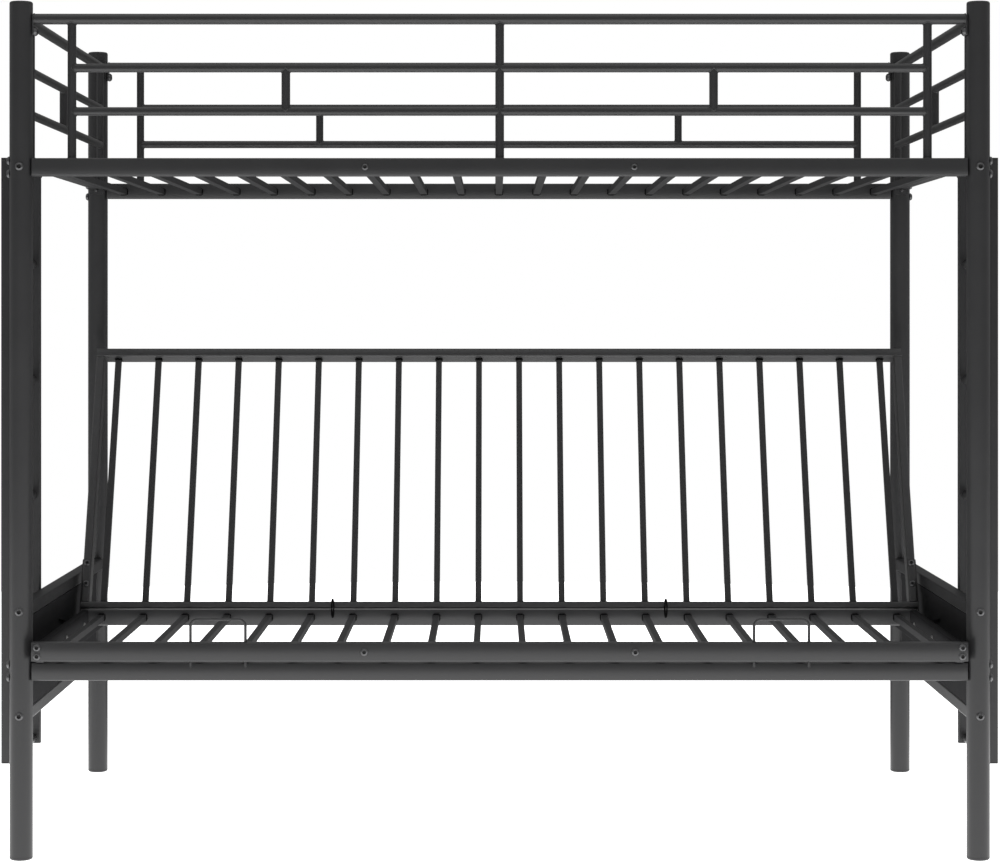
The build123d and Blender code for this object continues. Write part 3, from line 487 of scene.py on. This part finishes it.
guards = (("front_guard", right), ("rear_guard", right), ("left_end_guard", rear),
          ("right_end_guard", rear))
mesh = bmesh.new()
for guard, run in guards:
    dress(frame_coat, f"{guard}_bars", f"{guard}_uprights")
    bars, uprights = solids_of(f"{guard}_bars"), solids_of(f"{guard}_uprights")
    tube_joints(mesh, uprights, up, bars, run)
    tube_joints(mesh, bars, run, uprights, up)
dress(frame_coat, "guard_flanges")
for end in ends:
    bars = [tube_axis(bar, rear) for bar in solids_of(f"{end}_end_guard_bars")]
    lower, higher = sorted(bars, key=lambda bar: bar[0].z)[:2]
    radius = lower[2]
    ends_of_stay = []
    for (middle, _, bar_radius), out in ((lower, up), (higher, -up)):
        joint = middle + rear * (front_row + stay_behind_post)
        saddle_seam(mesh, joint, out, rear, radius, bar_radius)
        ends_of_stay.append([joint + out * (notch(bar_radius, radius, turn) - stay_sink)
                             + rear * radius * cos(turn) + right * radius * sin(turn)
                             for turn in turns(joint_steps)])
    stay = bmesh.new()
    rings = [[stay.verts.new(low.lerp(high, share)) for low, high in zip(*ends_of_stay)]
             for share in stay_shares]
    skin(stay, rings)
    finish_piece(stay, f"{end}_end_guard_stay", frame_coat, "bed_frame", "frame_paint")
finish_piece(mesh, "guard_welds", frame_coat, "bed_frame", "frame_paint")

# Ladders. At each end two stringers of rectangular tube stand outside the end rails, welded to them,
# with five round rungs welded between them and plastic plugs in their open ends.
sides = (("left", -1), ("right", 1))
stitch_step = 0.0026
seam_inset = 0.004


def straight_seam(mesh, start, end, away):
    """A short bead along a straight edge."""
    pieces = max(3, round((end - start).length / stitch_step))
    bead(mesh, [(start.lerp(end, share / pieces), away) for share in range(pieces + 1)], joined=False)


mesh = bmesh.new()
for end, side in sides:
    dress(frame_coat, f"{end}_ladder_stringers", f"{end}_ladder_rungs")
    for rung in solids_of(f"{end}_ladder_rungs"):
        middle, reach, radius = tube_axis(rung, rear)
        for place in reach:
            round_seam(mesh, middle + rear * place, rear, radius)
    for rail in (f"upper_{end}_end_rail", f"{end}_arm_rail", f"lower_{end}_end_rail"):
        low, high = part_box(rail)
        face = side * max(abs(low.x), abs(high.x))
        for stringer in solids_of(f"{end}_ladder_stringers"):
            for sign, place in zip((-1, 1), span(stringer, rear)):
                start = Vector((face, place, low.z + seam_inset))
                stop = Vector((face, place, high.z - seam_inset))
                straight_seam(mesh, start, stop, rear * sign)
finish_piece(mesh, "ladder_welds", frame_coat, "bed_frame", "frame_paint")

# Lower frame. Rectangular tube like the upper bed; at each end a sheet steel side plate closes the
# space between the arm rail and the lower end rail and carries the track that the sofa rolls on.
# Plates and tracks take a darker, nearly unreflecting copy of the coat, painted shade for the deep shade
# under the sofa, and the plates are stitched to the rails with short beads.
lower_rail_low, lower_rail_high = (corner.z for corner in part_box("left_seat_track"))
dress(rail_coat("lower_rail_coat", lower_rail_low, lower_rail_high), "lower_front_rail", "lower_rear_rail")
# A darker, nearly unreflecting copy of the coat: painted shade for the plates, tracks and seat side rails.
shade_dark_coat = powder_coat("shade_dark_powder_coat", (0.018, 0.018, 0.019), 0.48, 0.60, shine=0.03)
stitch_length, stitch_pitch = 0.024, 0.105
front_margin, back_margin = 0.03, 0.02
plate_middle, plate_half = 0.935, 0.001
mesh = bmesh.new()
for end, side in sides:
    dress(frame_coat, f"lower_{end}_end_rail")
    # The arm rails take the darker, duller coat, painted shade.
    dress(dark_dull_coat, f"{end}_arm_rail")
    dress(shade_dark_coat, f"{end}_side_plate", f"{end}_seat_track")
    arm_rail_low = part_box(f"{end}_arm_rail")[0].z
    end_rail_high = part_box(f"lower_{end}_end_rail")[1].z
    plate_front, plate_back = (corner.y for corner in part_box(f"{end}_side_plate"))
    outside, inside = side * (plate_middle + plate_half), side * (plate_middle - plate_half)
    start = plate_front + front_margin
    while start + stitch_length < plate_back - back_margin:
        for x, z, away in ((outside, arm_rail_low, right * side), (outside, end_rail_high, right * side),
                           (inside, lower_rail_low, -up)):
            straight_seam(mesh, Vector((x, start, z)), Vector((x, start + stitch_length, z)), away)
        start += stitch_pitch
finish_piece(mesh, "side_plate_welds", frame_coat, "bed_frame", "frame_paint")

# Frame bolts. Button head screws of black plated steel with a hexagon socket, each driven through a
# post or a rail plate into a nut inside the tube.


def fastener_metal(name, tone, metallic, roughness):
    material, nodes = new_material(name)
    place = nodes.add("ShaderNodeTexCoord", out=3)
    wear = nodes.add("ShaderNodeTexNoise", None, {"Vector": place, "Scale": 260.0, "Detail": 4.0})
    body = nodes.add("ShaderNodeMix", {"data_type": "RGBA"},
                     {0: wear, 6: shaded(tone, 0.8), 7: shaded(tone, 1.25)}, out=2)
    bump = nodes.add("ShaderNodeBump", None, {"Strength": 0.1, "Distance": 0.0002, "Height": wear})
    nodes.surface(nodes.add("ShaderNodeBsdfPrincipled", None, {
        "Base Color": body, "Metallic": metallic, "Roughness": roughness + wear * 0.12, "Normal": bump}))
    return material


black_plate = fastener_metal("black_plate", (0.12, 0.12, 0.123), 0.7, 0.28)
# The sockets' insides are near-black, painted shade for their recess.
socket_shade_black = fastener_metal("socket_shade_black", (0.006, 0.006, 0.006), 0.0, 0.6)
head_steps = 36
tip_depth, wide_share = 0.0002, 0.9
row_slack = 0.001
shank_radius, point_share, point_length = 0.003, 0.8, 0.0008
button_dome = ((1.0, 0.0), (1.0, 0.14), (0.985, 0.30), (0.94, 0.50), (0.86, 0.68), (0.75, 0.85),
               (0.66, 0.95), (0.59, 1.0))
button_socket = ((1.12, 1.0), (1.0, 0.93), (1.0, 0.24), (0.5, 0.16))
socket_share = 0.45


def ring(mesh, centre, out, radius, flats=0, steps=head_steps):
    """Points round a centre: a circle, or a polygon whose flats lie at the radius."""
    side = out.orthogonal().normalized()
    other = out.cross(side)
    points = []
    for turn in turns(steps):
        reach = radius / cos((turn + pi / flats) % (2 * pi / flats) - pi / flats) if flats else radius
        points.append(mesh.verts.new(centre + (side * cos(turn) + other * sin(turn)) * reach))
    return points


def turned_size(solid, out):
    """Axis point at height 0, tip and top along out, largest radius, and the height where it starts."""
    tip, top = span(solid, out)
    tips = [point for point in solid if point.dot(out) < tip + tip_depth]
    axis = sum(tips, Vector()) / len(tips)
    axis -= out * axis.dot(out)
    radii = [(point - out * point.dot(out) - axis).length for point in solid]
    wide = max(radii)
    seat = min(point.dot(out) for point, radius in zip(solid, radii) if radius > wide * wide_share)
    return axis, tip, top, wide, seat


def button_bolt(mesh, solid, out):
    """A shank with a tapered point, a domed head and a hexagon socket in it."""
    axis, tip, top, head, seat = turned_size(solid, out)
    rings = [ring(mesh, axis + out * tip, out, shank_radius * point_share),
             ring(mesh, axis + out * (tip + point_length), out, shank_radius),
             ring(mesh, axis + out * seat, out, shank_radius)]
    for share, rise in button_dome:
        rings.append(ring(mesh, axis + out * (seat + (top - seat) * rise), out, head * share))
    for share, rise in button_socket:
        centre = axis + out * (seat + (top - seat) * rise)
        rings.append(ring(mesh, centre, out, head * socket_share * share, flats=6))
    # The socket faces take the near-black inner material, painted shade.
    socket_faces = (len(button_socket) - 1) * head_steps + 1
    for face in skin(mesh, rings)[-socket_faces:]:
        face.material_index = 1


def button_bolts(node, body, facing):
    """Bolts with domes and sockets in place of a CAD piece's plain ones, each head facing its own way."""
    dress(black_plate, node)
    mesh = bmesh.new()
    for solid in solids_of(node):
        button_bolt(mesh, solid, facing(sum(solid, Vector()) / len(solid)))
    finish_piece(mesh, f"{node}_with_sockets", black_plate, body, "black_bolts", node, inner=socket_shade_black)


def guard_screw_facing(middle):
    """Every head faces the middle of the bed: along it in the long guards, across it in the end guards."""
    if min(abs(middle.y - front_row), abs(middle.y - back_row)) < row_slack:
        return right * (-1 if middle.x > 0 else 1)
    return rear * (-1 if middle.y > 0 else 1)


back_post_low, back_post_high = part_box("post_back_left")
back_row = (back_post_low.y + back_post_high.y) / 2
button_bolts("side_rail_bolts", "bed_frame", lambda middle: right * (1 if middle.x > 0 else -1))
button_bolts("end_rail_bolts", "bed_frame", lambda middle: rear * (1 if middle.y > 0 else -1))
button_bolts("guard_screws", "bed_frame", guard_screw_facing)
button_bolts("deck_rail_bolts", "bed_frame", lambda middle: rear * (1 if middle.y > 0 else -1))

# Seat frame. Rectangular tube bolted at its corners, with twenty slats welded between the front and
# the rear rail. Bent wire loops on the front rail and slim wire rings on the rear one hold the
# mattress; the rings stand for the straight-sided ones of the CAD piece.
ring_wire, ring_steps, ring_share = 0.0017, 48, 0.8
wire_sides = 10
widest_ring, ring_slack = 0.03, 0.001
front_bolts_until = -0.2
seat_rail_low, seat_rail_high = (corner.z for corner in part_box("seat_front_rail"))
dress(rail_coat("seat_rail_coat", seat_rail_low, seat_rail_high), "seat_front_rail", "seat_rear_rail")
dress(frame_coat, "mattress_loops", "hinge_ears")
# The seat's side rails take the darker coat as well, painted shade.
dress(shade_dark_coat, "seat_side_rails")
dress(dark_dull_coat, "seat_slats")
mesh = bmesh.new()
mesh.from_mesh(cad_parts["mattress_loops"].data)
for solid in solids_of("mattress_loops"):
    (left, right_side), (low, high) = span(solid, right), span(solid, up)
    if right_side - left > widest_ring:
        continue
    old = [point for point in mesh.verts if left - ring_slack < point.co.x < right_side + ring_slack]
    bmesh.ops.delete(mesh, geom=old, context="VERTS")
    centre = (right * ((left + right_side) / 2) + rear * (span(solid, rear)[1] - ring_wire)
              + up * ((low + high) / 2))
    half_width, half_height = (right_side - left) / 2 * ring_share - ring_wire, (high - low) / 2 - ring_wire
    path = [centre + right * half_width * sin(turn) + up * half_height * cos(turn)
            for turn in turns(ring_steps)]
    rings = []
    for before, point, after in zip(path[-1:] + path[:-1], path, path[1:] + path[:1]):
        away = (after - before).normalized().cross(rear)
        rings.append([mesh.verts.new(point + (away * cos(turn) + rear * sin(turn)) * ring_wire)
                      for turn in turns(wire_sides)])
    for face in skin(mesh, rings, joined=True):
        face.material_index = 1
finish_piece(mesh, "mattress_loops_and_rings", frame_coat, "seat_frame", "frame_paint", "mattress_loops",
             inner=seam_shade_and_wire_black)
slat_seams("seat_slat_welds", "seat_slats", rear, up, "seat_frame")
button_bolts("seat_bolts", "seat_frame", lambda middle: -rear if middle.y < front_bolts_until else rear)

# Back frame. The same tube: two side members, a bottom and a top rail and twenty slats, welded flat
# and then stood up on the hinges.
back_angle = radians(23.5)
back_up = Vector((0, sin(back_angle), cos(back_angle)))
back_out = Vector((0, -cos(back_angle), sin(back_angle)))
# The back's tubes take a lighter copy of the coat, painted light for their faces tilted up towards the
# ceiling.
back_lit_tone, back_crown = (0.042, 0.042, 0.043), 18.0
for name in ("back_top_rail", "back_bottom_rail"):
    low, high = span([vertex.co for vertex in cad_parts[name].data.vertices], back_up)
    dress(rail_coat(f"{name}_coat", low, high, back_up, back_lit_tone, back_crown), name)
dress(powder_coat("back_side_lit_coat", back_lit_tone, coat_gloss, coat_dull, shine=0.6), "back_side_members")
dress(frame_coat, "back_slats", "hinge_brackets")
slat_seams("back_slat_welds", "back_slats", back_up, back_out, "back_frame")

# Tube plugs. Black polyethylene plugs close the open ends of the back's rails and of the tracks, each
# pushed in until its dished face is level with the steel.
tube_wall, plug_corner = 0.0015, 0.002
plug_faces = ((0.012, 0.0), (0.0008, 0.0), (0.0002, 0.0007), (0.0002, 0.0022), (0.0010, 0.0030))


def tube_plugs(name, nodes, along, across, height, body):
    mesh = bmesh.new()
    for node in nodes:
        for solid in solids_of(node):
            for end, inward in ((0, along), (1, -along)):
                middle, half_width, half_height = tube_end(solid, along, across, height, end)
                rings = []
                for depth, less in plug_faces:
                    wide, tall = half_width - tube_wall - less, half_height - tube_wall - less
                    stops = rounded_box(middle + inward * depth, across, height, wide, tall, plug_corner)
                    rings.append([mesh.verts.new(point) for point, _ in stops])
                skin(mesh, rings)
    finish_piece(mesh, name, cap_plastic, body, "black_plastic")


tube_plugs("back_rail_plugs", ("back_top_rail", "back_bottom_rail"), right, back_up, back_out, "back_frame")
tube_plugs("track_plugs", ("left_seat_track", "right_seat_track"), rear, right, up, "bed_frame")

# Hinges. Zinc plated pins join the brackets of the back to the ears of the seat, headed pins run in
# the slots of the side plates, and button head bolts with nuts hold the brackets to the back.
zinc_plate = fastener_metal("zinc_plate", (0.5, 0.5, 0.49), 1.0, 0.35)
dress(zinc_plate, "hinge_pins", "roller_axles", "guide_pins")
dress(black_plate, "bracket_bolts")
nut_radius, nut_reach = 0.005, (0.0048, 0.0062)
nut_shape = ((0.82, 0.0, 0), (1.0, 0.12, 6), (1.0, 0.86, 6), (0.9, 1.0, 0), (0.62, 1.0, 0), (0.62, 0.0, 0))
mesh = bmesh.new()
for solid in solids_of("bracket_bolts"):
    button_bolt(mesh, solid, back_out)
    axis = turned_size(solid, back_out)[0]
    nut = [point.dot(back_out) for point in solid
           if nut_reach[0] < (point - back_out * point.dot(back_out) - axis).length < nut_reach[1]]
    low, high = min(nut), max(nut)
    rings = [ring(mesh, axis + back_out * (high + (low - high) * rise), back_out, nut_radius * share, flats)
             for share, rise, flats in nut_shape]
    skin(mesh, rings, joined=True)
finish_piece(mesh, "bracket_bolts_with_nuts", black_plate, "back_frame", "black_bolts", "bracket_bolts",
             inner=socket_shade_black)

# Rollers. Nylon wheels turned from bar, with a recessed web stiffened by ribs on both faces; they
# run on headed axles along the tracks. Small nylon pads on the lower rails keep the sofa off the paint.
nylon = moulded_plastic("nylon", (0.06, 0.06, 0.063), 0.4)
dress(nylon, "glide_pads")
wheel_profile = ((0.30, 1.0), (0.52, 1.0), (0.55, 0.94), (0.55, 0.45), (0.78, 0.45), (0.80, 0.94),
                 (0.83, 1.0), (0.95, 1.0), (0.985, 0.93), (1.0, 0.80))
wheel_steps, bore_radius = 48, 0.00405
rib_count, rib_half = 6, 0.0006
rib_outline = ((0.54, 0.40), (0.79, 0.40), (0.79, 0.82), (0.54, 0.90))
for end in ends:
    for place in ("front", "rear"):
        node = f"{end}_{place}_roller"
        dress(nylon, node)
        low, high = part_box(node)
        centre = (low + high) / 2
        half_width, radius = (high.x - low.x) / 2, (high.z - low.z) / 2
        mesh = bmesh.new()
        rings = []
        for face, profile in ((right, wheel_profile), (-right, wheel_profile[::-1])):
            for share, rise in profile:
                reach = max(radius * share, bore_radius)
                rings.append(ring(mesh, centre + face * half_width * rise, right, reach, steps=wheel_steps))
        skin(mesh, rings, joined=True)
        for turn in turns(rib_count):
            out = rear * cos(turn) + up * sin(turn)
            beside = out.cross(right) * rib_half
            for face in (-1, 1):
                foot = [centre + out * radius * share + right * face * half_width * rise
                        for share, rise in rib_outline]
                skin(mesh, [[mesh.verts.new(point + beside * sign) for point in foot] for sign in (-1, 1)])
        finish_piece(mesh, f"{node}_wheel", nylon, node, "roller_nylon", node)
